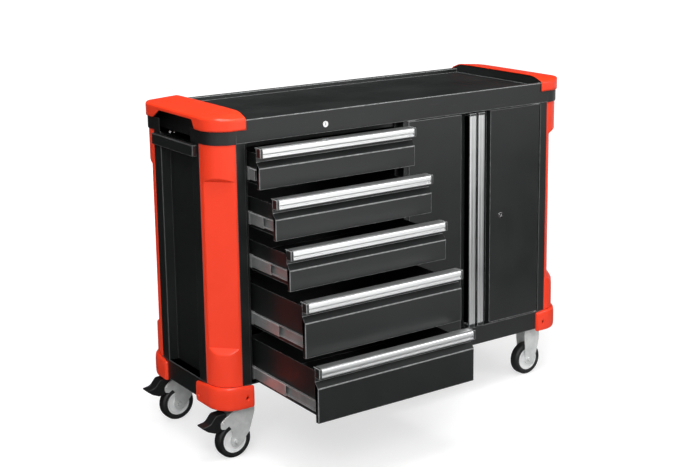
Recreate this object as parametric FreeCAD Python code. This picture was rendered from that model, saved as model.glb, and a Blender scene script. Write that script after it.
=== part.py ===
# Tool chest and cart combo: a five-drawer bay and a two-door cupboard on four
# casters, under one tray worktop. All lengths are millimetres.
# Working frame while building: X across the front with 0 in the middle of the
# cabinet, Y from the front (door faces at 0) to the back, Z up from the floor.
# The last section moves everything so the overall box is centred on X and Y.

import FreeCAD
import Part
import math
import os

V = FreeCAD.Vector

# Cabinet shell
half_width = 628.0
depth = 427.0
corner_r = 65.0
sheet = 1.5
thin = 1.2
caster_h = 160.0
base_h = 59.0
deck_drop = 16.0
body_h = 677.5
post_w = 96.0
stile_w = 27.6
skin = 3.0
cham = 62.4
post_side = 80.0
post_black = 121.0
recess = 28.0
flange = 30.0
back_in = 3.0
return_in = 24.0
base_z0 = caster_h
base_z1 = base_z0 + base_h
body_top = base_z1 + body_h
floor_z = base_z1 - deck_drop
stile_in = half_width - post_w
stile_out = stile_in + stile_w
recess_x = half_width - recess
back_y = depth - back_in

# Worktop and top trims
top_out = 3.0
apron_h = 63.5
rear_up = 2.0
tray_drop = 10.5
front_lip = 14.0
rear_lip = 15.0
cap_drop = 26.5
cap_out = 7.0
cap_w = 98.0
cap_wall = 3.0
cap_front_up = 4.5
cap_side_up = 9.0
cap_ridge_up = 21.0
cap_ridge_y = 32.0
top_front = -top_out
top_rear = depth + top_out
rim_z = body_top + apron_h
tray_z = rim_z - tray_drop
cap_z0 = rim_z - cap_drop
cap_in_x = half_width - cap_w
cap_front_z = rim_z + cap_front_up
cap_side_z = rim_z + cap_side_up
cap_ridge_z = rim_z + cap_ridge_up

# Drawer bay
divider_x0 = -2.0
divider_x1 = 13.6
face_gap = 8.0
box_inset = 24.0
rail_inset = 8.7
rail_h = 26.5
rail_out = 7.0
rail_wall = 2.0
rail_back = 22.0
wall_y = 14.0
lip_drop = 28.5
lip_back = 12.1
box_rear = 35.0
slide_gap = 12.7
slide_up = 29.5
face_x0 = face_gap - stile_in
face_x1 = divider_x0 - 3.3
box_len = depth - box_rear - wall_y
slide_y0 = wall_y + 4.0
slide_len = box_len - 4.0
# Each drawer, from the top of the base: bottom of the pull rail, bottom of the
# face, and the opening as shown
drawers = [
    (644.1, 557.5, 58.2),
    (519.6, 433.6, 135.5),
    (396.7, 311.8, 200.4),
    (272.3, 148.8, 270.0),
    (112.1, -11.0, 325.2),
]

# Cupboard
door_t = 24.0
pin_off = 5.0
pin_r = 2.5
pull_low = 12.7
pull_high = 8.4
door_x0 = divider_x1 + 2.6
door_x1 = stile_in - 4.0
door_mid = (door_x0 + door_x1) / 2.0 + 0.4
door_z0 = base_z1 + 2.0
door_z1 = body_top - 2.7
pull_z0 = door_z0 + pull_low
pull_z1 = door_z1 - pull_high

# Casters
wheel_r = 52.0
wheel_w = 32.0
hub_r = 36.0
axle_r = 4.0
run = 0.05
rim_sides = 32
boss_sides = 24
caster_in = 44.0
trail = 33.0
leg_in = 18.2
leg_t = 2.5
front_y = caster_in
rear_y = depth - caster_in
fixed_x = half_width - 107.0
king_x = 88.0 - half_width
swivel_x = king_x - trail

parts = {}


def at(axis, a, b, c):
    """Point from two profile coordinates a, b and the coordinate c along axis."""
    if axis == "x":
        return V(c, a, b)
    if axis == "y":
        return V(a, c, b)
    return V(a, b, c)


def profile(points, axis, lo, hi):
    """Closed outline of (a, b) or (a, b, corner radius), extruded from lo to hi."""
    edges = []
    starts = []
    ends = []
    arcs = []
    count = len(points)
    for i in range(count):
        p = FreeCAD.Vector(points[i][0], points[i][1], 0)
        r = points[i][2] if len(points[i]) > 2 else 0.0
        if r == 0.0:
            starts.append(p)
            ends.append(p)
            arcs.append(None)
            continue
        u = FreeCAD.Vector(points[i - 1][0], points[i - 1][1], 0).sub(p).normalize()
        n = points[(i + 1) % count]
        v = FreeCAD.Vector(n[0], n[1], 0).sub(p).normalize()
        half = u.getAngle(v) / 2.0
        mid = u.add(v).normalize()
        starts.append(p.add(u * (r / math.tan(half))))
        ends.append(p.add(v * (r / math.tan(half))))
        arcs.append(p.add(mid * (r / math.sin(half) - r)))
    for i in range(count):
        if arcs[i] is not None:
            a = at(axis, starts[i].x, starts[i].y, lo)
            m = at(axis, arcs[i].x, arcs[i].y, lo)
            b = at(axis, ends[i].x, ends[i].y, lo)
            edges.append(Part.Arc(a, m, b).toShape())
        j = (i + 1) % count
        a = at(axis, ends[i].x, ends[i].y, lo)
        b = at(axis, starts[j].x, starts[j].y, lo)
        if a.distanceToPoint(b) > 1e-6:
            edges.append(Part.makeLine(a, b))
    face = Part.Face(Part.Wire(edges))
    return face.extrude(at(axis, 0, 0, hi - lo))


def folded(points, t, axis, lo, hi):
    """Bent sheet: an open line of points given thickness t on its left side."""
    inner = []
    last = len(points) - 1
    for i in range(len(points)):
        p = points[i]
        if i > 0:
            dx = p[0] - points[i - 1][0]
            dy = p[1] - points[i - 1][1]
            size = math.hypot(dx, dy)
            before = (-dy / size, dx / size)
        if i < last:
            dx = points[i + 1][0] - p[0]
            dy = points[i + 1][1] - p[1]
            size = math.hypot(dx, dy)
            after = (-dy / size, dx / size)
        if i == 0:
            before = after
        if i == last:
            after = before
        sx = before[0] + after[0]
        sy = before[1] + after[1]
        scale = t * 2.0 / (sx * sx + sy * sy)
        inner.append((p[0] + sx * scale, p[1] + sy * scale))
    return profile(list(points) + inner[::-1], axis, lo, hi)


def box(x0, x1, y0, y1, z0, z1):
    return Part.makeBox(x1 - x0, y1 - y0, z1 - z0, V(x0, y0, z0))


def rod(x, y, z, axis, r, length):
    """Cylinder starting at x, y, z and running length along the axis."""
    return Part.makeCylinder(r, length, V(x, y, z), at(axis, 0, 0, 1))


def prism(x, y, z, axis, r, length, sides):
    """Even-sided bar starting at x, y, z, for nuts, screw heads and wheel rounds."""
    mid = {"x": (y, z, x), "y": (x, z, y), "z": (x, y, z)}[axis]
    pts = []
    for i in range(sides):
        turn = 2.0 * math.pi * (i + 0.5) / sides
        pts.append((mid[0] + r * math.cos(turn), mid[1] + r * math.sin(turn)))
    return profile(pts, axis, mid[2], mid[2] + length)


def flip(shape):
    """Mirror image across the middle plane X = 0."""
    return shape.mirror(V(0, 0, 0), V(1, 0, 0))


def flip_back(shape):
    """Mirror image front to back across the middle of the cabinet depth."""
    return shape.mirror(V(0, depth / 2.0, 0), V(0, 1, 0))


def fuse(shapes):
    return shapes[0].multiFuse(shapes[1:]).removeSplitter()


def corner(out, back, x_from, z0, z1, inner=None):
    """Front right corner skin between the outline and an inner outline."""
    pts = [
        (x_from, -out),
        (half_width + out, -out, corner_r + out),
        (half_width + out, back),
    ]
    return profile(pts + inner, "z", z0, z1)


# Side panels: one folded sheet per side, front and rear posts with chamfered
# corners behind the red columns, and a recessed field between them.
flat = half_width - skin
front_half = [
    (stile_in, return_in),
    (stile_in, 0.0),
    (stile_out, 0.0),
    (stile_out, skin),
    (half_width - cham, skin),
    (flat, cham),
    (flat, post_side),
    (half_width, post_side),
    (half_width, post_black),
    (recess_x, post_black + 3.0),
]
rear_half = [(x, depth - y) for x, y in front_half[1:]]
side_right = folded(front_half + rear_half[::-1], sheet, "z", base_z1, body_top)
parts["side_panel_right"] = side_right
parts["side_panel_left"] = flip(side_right)

# Back panel between the rear posts, and the cabinet floor with a turned-down
# front edge.
back_x = stile_out - 3.6
deck_x = recess_x - 12.0
parts["back_panel"] = box(-back_x, back_x, back_y, back_y + sheet, base_z1, body_top)
deck_pts = [(deck_x, flange), (deck_x, depth - flange), (back_x, depth - flange), (back_x, back_y)]
deck_pts += [(-x, y) for x, y in deck_pts[::-1]]
deck_z = floor_z + sheet
parts["cabinet_floor"] = profile(deck_pts, "z", floor_z, deck_z)

# Centre divider: a hollow double-skinned wall, closed strip to the front.
low_front = box(-half_width, half_width, -5, flange, floor_z, base_z1)
low_rear = box(-half_width, half_width, depth - flange, depth, floor_z, base_z1)
divider_top = body_top - sheet
divider = folded(
    [(divider_x0, back_y), (divider_x0, 0.0), (divider_x1, 0.0), (divider_x1, back_y)],
    thin, "z", deck_z, divider_top,
)
parts["centre_divider"] = divider.cut(low_front).cut(low_rear)

# Top rails: an angle across the front and one across the back.
rail_low = body_top - 16.5
front_pts = [(flange, rail_low), (flange, body_top), (2 * flange, body_top)]
rear_pts = [(back_y, rail_low), (back_y, body_top), (back_y - flange + 2.0, body_top)]
front_rail = folded(front_pts, -sheet, "x", -deck_x, deck_x)
rear_rail = folded(rear_pts, sheet, "x", -back_x, back_x)
room = box(divider_x0, divider_x1, 0, back_y, base_z1, divider_top)
parts["top_rails"] = Part.makeCompound([front_rail.cut(room), rear_rail.cut(room)])

# Drawer bay liners: upright channels that carry the fixed slide rails.
bay_mid = (face_x0 + face_x1) / 2.0
box_x0 = face_x0 + box_inset
box_x1 = face_x1 - box_inset
liner_x = box_x0 - slide_gap
liner_y = return_in
liner_top = body_top - 4.5
over = rail_low - 2.0
top_space = box(-half_width, 0, flange - 2, 2 * flange + 2, over, body_top)
top_space = top_space.fuse(box(-half_width, 0, back_y - flange, depth, over, body_top))
left_liner = folded(
    [(-stile_in - sheet, liner_y), (liner_x, liner_y), (liner_x, back_y), (-stile_in, back_y)],
    thin, "z", deck_z, liner_top,
)
right_x = box_x1 + slide_gap
right_liner = folded(
    [(divider_x0, back_y), (right_x, back_y), (right_x, liner_y), (divider_x0, liner_y)],
    thin, "z", deck_z, liner_top,
)
liners = Part.makeCompound([left_liner, right_liner])
parts["drawer_bay_liners"] = liners.cut(top_space).cut(low_front).cut(low_rear)


# Base frame: channel rails between rounded corner pieces, a low rail set back
# under the drawer bay and a plate in each corner for the casters.
def ring(inset, z0, z1):
    r = max(corner_r - inset, 1.0)
    x = half_width - inset
    return profile(
        [(-x, inset, r), (x, inset, r), (x, depth - inset, r), (-x, depth - inset, r)],
        "z", z0, z1,
    )


def band_between(outer, inner, z0, z1):
    return ring(outer, z0, z1).cut(ring(inner, z0, z1))


wall = 2.0
loop = fuse([
    band_between(0, wall, base_z0, base_z1),
    band_between(wall / 2, flange, base_z1 - wall, base_z1),
    band_between(wall / 2, 1.5 * flange, floor_z - wall, floor_z),
    band_between(wall / 2, flange - 5, base_z0, base_z0 + wall),
])
bend_loop = band_between(0, wall, base_z0, base_z1)
bend_loop = bend_loop.fuse(band_between(wall / 2, flange, base_z1 - wall, base_z1)).removeSplitter()
turn_x = half_width - corner_r
turn_y = corner_r
low_y = 2 * flange
far_x = half_width + 1
frame_bits = []
for x0, x1, y0, y1 in (
    (divider_x0, turn_x, -1, low_y),
    (-turn_x, turn_x, depth - low_y, depth + 1),
    (turn_x, far_x, turn_y, depth - turn_y),
    (-far_x, -turn_x, turn_y, depth - turn_y),
):
    frame_bits.append(loop.common(box(x0, x1, y0, y1, base_z0 - 1, base_z1 + 1)))
low_pts = [(low_y + 20, base_z0), (low_y, base_z0), (low_y, floor_z), (low_y + 20, floor_z)]
low_rail = folded(low_pts, -wall, "x", -stile_in, divider_x0)
low_end = box(divider_x0, divider_x0 + wall, wall, low_y, base_z0 + wall, floor_z - wall)
frame_bits[0] = frame_bits[0].fuse(low_end).removeSplitter()
frame_bits.append(low_rail)
gusset_x = fixed_x - 31.0
gusset_y = caster_in + 42.0
for near_side, at_right in ((True, True), (False, True), (True, False), (False, False)):
    x0, x1 = (turn_x, far_x) if at_right else (-far_x, -turn_x)
    if near_side and not at_right:
        x1 = -stile_in
    y0, y1 = (-1, turn_y) if near_side else (depth - turn_y, depth + 1)
    bend = bend_loop.common(box(x0, x1, y0, y1, base_z0 - 1, base_z1 + 1))
    p0, p1 = (gusset_x, recess_x) if at_right else (-recess_x, -gusset_x)
    q0, q1 = (1, gusset_y) if near_side else (depth - gusset_y, depth - 1)
    plate = box(p0, p1, q0, q1, base_z0, base_z0 + wall).common(ring(1, base_z0, base_z0 + wall))
    bend = bend.fuse(plate).removeSplitter()
    for other in frame_bits:
        bend = bend.cut(other)
    frame_bits.append(bend)
parts["base_frame"] = Part.makeCompound(frame_bits)

# Worktop: folded apron and rims, recessed tray floor, upstand walls at the
# ends and skirts that go down inside the end caps. Hole for the drawer lock.
lock_x = bay_mid - 11.35
lock_z = body_top + 24.2
rear_z = rim_z + rear_up
lip_rear = depth - rear_lip
apron = folded(
    [(top_front + rear_lip, body_top), (top_front, body_top), (top_front, rim_z), (front_lip, rim_z),
     (front_lip, tray_z), (lip_rear, tray_z), (lip_rear, rear_z), (top_rear, rear_z),
     (top_rear, body_top), (top_rear - rear_lip, body_top)],
    -sheet, "x", -stile_out, stile_out,
)
skirt_x = recess_x - 7.0
wing = box(stile_out - 1, skirt_x, front_lip, depth - front_lip, tray_z - sheet, tray_z)
skirt = box(skirt_x - sheet, skirt_x, front_lip, depth - front_lip, body_top, tray_z)


def top_line(y, drop):
    """Height of the cap top at depth y, less a drop."""
    edge = min(y + cap_out, depth + cap_out - y)
    slope = (cap_ridge_z - cap_front_z) / (cap_ridge_y + cap_out)
    return min(cap_front_z + edge * slope, cap_ridge_z) - drop


up_pts = [(y, top_line(y, cap_wall + 0.35)) for y in (top_front, cap_ridge_y, depth - cap_ridge_y, top_rear)]
up_pts += [(top_rear, rear_z), (lip_rear, rear_z), (lip_rear, tray_z), (front_lip, tray_z)]
up_pts += [(front_lip, rim_z), (top_front, rim_z)]
upstand = profile(up_pts, "x", cap_in_x + sheet, cap_in_x + 2 * sheet)
ends = [wing, skirt, upstand, flip(wing), flip(skirt), flip(upstand)]
lock_hole = rod(lock_x, -10, lock_z, "y", 7.05, 20)
parts["worktop"] = fuse([apron] + ends).cut(lock_hole)


# End caps: hollow saddles with sloped tops and an arched hand cut-out.
def cap_body(off):
    out = cap_out - off
    plan = [
        (cap_in_x, -out),
        (half_width + out, -out, corner_r + out),
        (half_width + out, depth + out, corner_r + out),
        (cap_in_x, depth + out),
    ]
    z0 = cap_z0 - (1.0 if off else 0.0)
    body = profile(plan, "z", z0, cap_ridge_z + 5)
    fore = [(y, top_line(y, off)) for y in (-20, cap_ridge_y, depth - cap_ridge_y, depth + 20)]
    past_in = cap_in_x - 30
    past_out = half_width + 32
    body = body.common(profile([(-20, z0 - 1)] + fore + [(depth + 20, z0 - 1)], "x", past_in, past_out))
    fall = (cap_ridge_z - cap_side_z) / (half_width + cap_out - cap_in_x)
    side = [(past_in, z0 - 1), (past_in, cap_ridge_z - off), (cap_in_x, cap_ridge_z - off)]
    side += [(past_out, cap_ridge_z - off - fall * (past_out - cap_in_x)), (past_out, z0 - 1)]
    return body.common(profile(side, "y", -20, depth + 20))


arch_top = cap_z0 + 25.0
arch_pts = [(88, cap_z0 - 3.5), (104, arch_top), (depth - 129, arch_top), (depth - 97, cap_z0 + 4.5)]
arch_pts.append((depth - 93, cap_z0 - 3.5))
arch = profile(arch_pts, "x", half_width - 8, half_width + 22)
cap = cap_body(0.0).cut(cap_body(cap_wall)).cut(arch)
parts["end_caps"] = Part.makeCompound([cap, flip(cap)])

# Corner bands under the caps, level with the apron.
band_in = [(half_width, post_black), (half_width, 0, corner_r), (stile_out, 0)]
band = corner(3.0, post_black, stile_out, body_top, cap_z0, band_in)
bands = [band, flip(band), flip_back(band), flip_back(flip(band))]
parts["corner_bands"] = Part.makeCompound(bands)

# Corner columns: rounded skins nested on the posts; the long middle part has
# a flat across the corner with sloped ends.
col_in = [(flat, post_side), (flat, cham), (half_width - cham, skin), (stile_out, skin)]
column = corner(0.0, post_side, stile_out, base_z1, body_top, col_in)
cut_z0 = base_z1 + 111.0
cut_z1 = body_top - 101.5
ledge_h = 16.0
mid_x = half_width - corner_r
near = corner_r - 16.3
wedge = profile(
    [(near, cut_z0 + ledge_h), (near + 40, cut_z0 - 24), (near + 40, cut_z1 + 24), (near, cut_z1 - ledge_h)],
    "y", -80, 80,
)
wedge.rotate(V(0, 0, 0), V(0, 0, 1), -45)
wedge.translate(V(mid_x, corner_r, 0))
column = column.cut(wedge)
columns = [column, flip(column), flip_back(column), flip_back(flip(column))]
parts["corner_posts"] = Part.makeCompound(columns)

# Corner bumpers round the base, with a screw in each leg.
bump_out = 9.0
bump_x = half_width - 113.0
bump_z1 = base_z1 - 0.5
leg_front = 136.0
leg_rear = 110.0
hole_r = 4.0
hole_x = half_width - 78.0
hole_z = base_z0 + 22.0
hole_front = leg_front - 23.0
hole_rear = leg_rear / 2.0
head_l = 5.0
head_r = hole_r - 0.2
bumpers = []
screws = []
for leg, hole_y in ((leg_front, hole_front), (leg_rear, hole_rear)):
    inner = [(half_width, leg), (half_width, 0, corner_r), (bump_x, 0)]
    piece = corner(bump_out, leg, bump_x, base_z0, bump_z1, inner)
    piece = piece.cut(prism(hole_x, -20, hole_z, "y", hole_r, 30, 8))
    piece = piece.cut(prism(half_width - 10, hole_y, hole_z - 7, "x", hole_r, 30, 8))
    heads = [
        prism(hole_x, -head_l, hole_z, "y", head_r, head_l, 8),
        prism(half_width, hole_y, hole_z - 7, "x", head_r, head_l, 8),
    ]
    if leg == leg_rear:
        piece = flip_back(piece)
        heads = [flip_back(h) for h in heads]
    bumpers += [piece, flip(piece)]
    screws += heads + [flip(h) for h in heads]
parts["corner_bumpers"] = Part.makeCompound(bumpers)
for sy, r in ((depth - 131.0, 3.5), (depth - 155.0, 2.2)):
    screws.append(prism(-recess_x - 3, sy, body_top - 7.5, "x", r, 3, 8))
parts["screws"] = Part.makeCompound(screws)

# Side handle: a channel bar across the recess on the left, on the posts.
grip_out = 15.0
grip_wall = 2.5
grip_x = -half_width - grip_out
grip_y0 = post_black - 31.0
grip_y1 = depth - post_black + 26.0
grip_z0 = body_top - 38.5
grip_z1 = grip_z0 + 32.0
y0, y1 = grip_y0 + grip_wall, grip_y1 - grip_wall
z0, z1 = grip_z0 + grip_wall, grip_z1 - grip_wall
hollow = box(grip_x + grip_wall, -half_width, y0, y1, z0, z1)
grip = box(grip_x, -half_width - 1, grip_y0, grip_y1, grip_z0, grip_z1).cut(hollow)
front_pad = box(grip_x + grip_wall, -half_width, y0, post_black - 2, z0, z1)
rear_pad = box(grip_x + grip_wall, -half_width, depth - post_black + 2, y1, z0, z1)
parts["side_handle"] = fuse([grip, front_pad, rear_pad])

# Shelf in the cupboard with folded edges.
shelf_z = base_z1 + 332.2
shelf_lip = 21.2
shelf_y0 = 70.0
shelf_y1 = depth - 42.0
shelf_pts = [(shelf_y0 + 15, shelf_z - shelf_lip), (shelf_y0, shelf_z - shelf_lip), (shelf_y0, shelf_z)]
shelf_pts += [(shelf_y1, shelf_z), (shelf_y1, shelf_z - shelf_lip)]
parts["cupboard_shelf"] = folded(shelf_pts, -thin, "x", divider_x1, recess_x - sheet)

# Door pivots: two plates under the worktop and pins top and bottom.
pivots = []
pin_left = door_x0 + pin_off
pin_right = door_x1 - pin_off
for px, a, b in ((pin_left, door_x0 - 2.6, pin_left + 25), (pin_right, pin_right - 25, stile_in)):
    plate = box(a, b, 1, flange, divider_top, body_top)
    pin = rod(px, pin_off, door_z1 - 9.8, "z", pin_r, divider_top - door_z1 + 10.3)
    pivots.append(plate.fuse(pin).removeSplitter())
    foot = prism(px, pin_off, base_z1, "z", 4.0, door_z0 - base_z1 - 0.1, 12)
    foot = foot.fuse(rod(px, pin_off, base_z1, "z", pin_r, 14.0))
    pivots.append(foot.removeSplitter())
parts["hinge_brackets"] = Part.makeCompound(pivots)


def channel(web, tip, mid_z, half, t, y0, y1):
    """C-shaped rail: web at one side, flanges running towards tip."""
    s = t if tip > web else -t
    return profile(
        [(web, mid_z - half), (tip, mid_z - half), (tip, mid_z - half + t), (web + s, mid_z - half + t),
         (web + s, mid_z + half - t), (tip, mid_z + half - t), (tip, mid_z + half), (web, mid_z + half)],
        "y", y0, y1,
    )


def pair(shape):
    """A slide member and its twin on the other side of the drawer."""
    return [shape, shape.mirror(V(bay_mid, 0, 0), V(1, 0, 0))]


# Drawers: tray with folded front, aluminium pull rail with dark ends, and
# telescopic slides of three nested rails on each side.
outer_rails = []
number = 0
for rail_up, face_up, opening in drawers:
    number += 1
    rail_z = base_z1 + rail_up
    face_z = base_z1 + face_up
    name = "drawer_%d" % number
    low = face_z + 2.0
    side_top = rail_z + 2.0
    wall_top = rail_z + rail_h - rail_wall
    tray = box(box_x0, box_x1, wall_y, wall_y + box_len, low, side_top)
    tray = tray.cut(box(box_x0 + 1, box_x1 - 1, wall_y + 1, wall_y + box_len - 1, low + 1, side_top + 1))
    front = folded(
        [(wall_y - 2, face_z), (0, face_z), (0, rail_z - lip_drop), (wall_y, rail_z - lip_back), (wall_y, wall_top)],
        -thin, "x", face_x0, face_x1,
    )
    edge = box(face_x0, face_x0 + thin, 0, wall_y - 2, face_z, rail_z - lip_drop)
    shell = fuse([tray, front, edge, edge.mirror(V(bay_mid, 0, 0), V(1, 0, 0))])
    nose = -rail_out - 0.6
    crown = rail_z + rail_h + 0.6
    end = profile(
        [(nose, rail_z - 0.6), (nose, crown - 3.5), (nose + 1.2, crown - 1.2), (nose + 3.5, crown), (rail_back, crown),
         (rail_back, wall_top), (wall_y, wall_top), (wall_y, rail_z - 0.6)],
        "x", face_x0, face_x0 + rail_inset,
    )
    hook = rail_back - rail_wall
    shin = rail_wall - rail_out
    rail = profile(
        [(-rail_out, rail_z), (-rail_out, rail_z + rail_h, 5.0), (rail_back, rail_z + rail_h),
         (rail_back, rail_z + 12), (hook, rail_z + 12), (hook, wall_top), (shin, wall_top, 3.0), (shin, rail_z)],
        "x", face_x0 + rail_inset, face_x1 - rail_inset,
    )
    mid_z = low + slide_up
    fixed = channel(liner_x, box_x0 - 4.0, mid_z, 17.5, 1.2, slide_y0, slide_y0 + slide_len)
    middle = channel(liner_x + 1.8, box_x0 - 3.6, mid_z, 15.8, 1.2, slide_y0, slide_y0 + slide_len)
    inner = channel(box_x0, box_x0 - 8.5, mid_z, 14.1, 1.2, slide_y0, slide_y0 + slide_len)
    outer_rails += pair(fixed)
    moved = {
        name + "_box": Part.makeCompound([shell] + pair(end)),
        name + "_rail": rail,
        name + "_runners": Part.makeCompound(pair(inner)),
    }
    for key in moved:
        moved[key].translate(V(0, -opening, 0))
        parts[key] = moved[key]
    glide = Part.makeCompound(pair(middle))
    glide.translate(V(0, -opening / 2.0, 0))
    parts[name + "_slide_middle"] = glide
parts["slide_outer_rails"] = Part.makeCompound(outer_rails)

# Doors: folded pans with a deep channel beside a tall pull rail. Built as the
# right door, mirrored for the left one.
edge_x = door_mid + 57.0
well_y = 18.0
web_x = door_mid + 6.0
skin_line = [
    (door_x1 - 14, door_t), (door_x1, door_t), (door_x1, 0.0), (edge_x, 0.0),
    (edge_x - 2.5, well_y), (web_x, well_y), (web_x, door_t), (web_x + 6.0, door_t),
]
pan = folded(skin_line[::-1], thin, "z", door_z0, door_z1)
lid_pts = [
    (door_x1, 0), (edge_x, 0), (edge_x - 2.5, well_y), (web_x, well_y), (web_x, door_t), (door_x1, door_t),
]
lids = [profile(lid_pts, "z", door_z0, door_z0 + thin), profile(lid_pts, "z", door_z1 - thin, door_z1)]
pin_hole = prism(pin_right, pin_off, door_z0 - 5, "z", pin_r + 2 * run, door_z1 - door_z0 + 10, boss_sides)
leg_x = web_x - 2.0
tip_x = web_x + 23.0
pull_y = -6.0
pull_pts = [
    (leg_x, door_t), (leg_x, pull_y, 1.5), (tip_x, pull_y, 3.0), (tip_x, pull_y + 5),
    (tip_x - 2, pull_y + 5), (tip_x - 2, pull_y + 2), (web_x, pull_y + 2), (web_x, door_t),
]
stop_pts = [(leg_x, well_y - 1), (leg_x, pull_y - 0.6), (tip_x, pull_y - 0.6), (tip_x, well_y)]
stop_pts += [(web_x, well_y), (web_x, well_y - 1)]
stops = [profile(stop_pts, "z", door_z0 + 0.5, pull_z0), profile(stop_pts, "z", pull_z1, door_z1 - 0.5)]
key_x = door_mid + 99.4
key_z = base_z1 + 342.6
bare = fuse([pan] + lids + stops).cut(pin_hole)
parts["right_door"] = bare.cut(rod(key_x, -5, key_z, "y", 7.05, 20))
pull = profile(pull_pts, "z", pull_z0, pull_z1)
parts["right_door_rail"] = pull
to_left = (door_x0 + door_x1) / 2.0
left_pan = bare.mirror(V(to_left, 0, 0), V(1, 0, 0))
left_pull = pull.mirror(V(to_left, 0, 0), V(1, 0, 0))
parts["left_door"] = left_pan
parts["left_door_rail"] = left_pull


# Locks: round barrels with a turning cam, and the bar the drawer lock lifts.
def barrel(x, z, y_face, y_cam, y_end, arm, arm_w, direction):
    head = prism(x, y_face - 3, z, "y", 9.0, 3, boss_sides)
    core = prism(x, y_face, z, "y", 7.0, y_end - y_face, boss_sides)
    slot = box(x - 1, x + 1, y_face - 4, y_face - 1, z - 4, z + 4)
    half = arm_w / 2.0
    reach = arm - half
    plate = box(x, x + reach, y_cam, y_cam + 3, z - half, z + half)
    plate = plate.fuse(prism(x + reach, y_cam, z, "y", half, 3, 12))
    plate.rotate(V(x, 0, z), V(0, -1, 0), direction)
    return head.fuse(core).fuse(plate).removeSplitter().cut(slot)


bar_y = return_in + thin + 0.3
cam_y = door_t + 3.0
parts["drawer_lock"] = barrel(lock_x, lock_z, top_front, bar_y - 0.5, bar_y + 4.0, 16.5, 10.0, 180.0)
parts["door_lock"] = barrel(key_x, key_z, 0.0, cam_y, cam_y + 4.0, 40.0, 14.0, 90.0)
bar_z = lock_z + 8.5
bar_x = right_x + thin
bar_end = lock_x - 16.0
bar_low = base_z1 + 16.0
bar = profile(
    [(bar_end, bar_z), (bar_x, bar_z), (bar_x, bar_low), (bar_x + 10, bar_low),
     (bar_x + 10, bar_z + 7), (bar_end, bar_z + 7)],
    "y", bar_y, bar_y + 2.0,
)
parts["lock_bar"] = bar


# Casters: rigid forks on the right, swivel forks with brake pedals on the left.
def stack(stations):
    """Even-sided body of flat facets through (y, radius) stations along its axle."""
    rings = []
    for y, r in stations:
        turns = [2.0 * math.pi * (i + 0.5) / rim_sides - math.pi / 2.0 for i in range(rim_sides)]
        rings.append([V(r * math.cos(t), y, r * math.sin(t)) for t in turns])
    faces = [Part.Face(Part.makePolygon(ends + ends[:1])) for ends in (rings[0], rings[-1])]
    for low, high in zip(rings, rings[1:]):
        for i in range(rim_sides):
            quad = [low[i - 1], low[i], high[i], high[i - 1], low[i - 1]]
            faces.append(Part.Face(Part.makePolygon(quad)))
    body = Part.makeSolid(Part.makeShell(faces))
    return body if body.Volume > 0 else body.reversed()


def wheel(x, y):
    half = wheel_w / 2.0
    rim = half - 2.0
    tread = wheel_r / math.cos(math.pi / rim_sides)
    tyre = stack([(-half, tread - 6), (6 - half, tread), (half - 6, tread), (half, tread - 6)])
    tyre = tyre.cut(stack([(-half - 1, hub_r), (half + 1, hub_r)]))
    hub = stack([(-rim, hub_r), (rim, hub_r)])
    dish = prism(0, -rim - 1, 0, "y", hub_r - 5, 6, boss_sides)
    hub = hub.cut(dish).cut(dish.mirror(V(0, 0, 0), V(0, 1, 0)))
    reach = leg_in - 0.3
    hub = hub.fuse(prism(0, -reach, 0, "y", 12.0, 2 * reach, 12))
    hub = hub.cut(rod(0, -20, 0, "y", axle_r + run, 40))
    for piece in (tyre, hub):
        piece.translate(V(x, y, wheel_r))
    return tyre, hub


def mounting_plate(x, y):
    return box(x - 36, x + 36, y - 32, y + 32, base_z0 - 3, base_z0)


def axle(x, y, z, r, nut, reach):
    """Bolt with a six-sided nut or head outside each leg."""
    out = leg_in + leg_t
    bolt = prism(x, y - out, z, "y", r, 2 * out, boss_sides)
    near_nut = prism(x, y - reach, z, "y", nut, reach - out, 6)
    far_nut = prism(x, y + out, z, "y", nut, reach - out, 6)
    return [bolt, near_nut, far_nut]


def legs(points, y):
    near_leg = profile(points, "y", y - leg_in - leg_t, y - leg_in)
    far_leg = profile(points, "y", y + leg_in, y + leg_in + leg_t)
    return [near_leg, far_leg]


fixed_forks = []
seat_z = base_z0 - 3.0
fixed_pts = [
    (fixed_x - 20, seat_z), (fixed_x + 42, seat_z), (fixed_x + 42, wheel_r + 62), (fixed_x + 37, wheel_r + 38),
    (fixed_x + 20, wheel_r - 16, 14), (fixed_x - 16, wheel_r - 16, 14), (fixed_x - 17, wheel_r + 48), (fixed_x - 20, wheel_r + 70),
]
for y in (front_y, rear_y):
    bridge = box(fixed_x - 20, fixed_x + 42, y - leg_in - leg_t, y + leg_in + leg_t, seat_z - leg_t, seat_z)
    shapes = [mounting_plate(fixed_x + 6, y), bridge] + legs(fixed_pts, y)
    fixed_forks.append(fuse(shapes + axle(fixed_x, y, wheel_r, axle_r, 7.5, 26.0)))
parts["fixed_casters"] = Part.makeCompound(fixed_forks)

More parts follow.
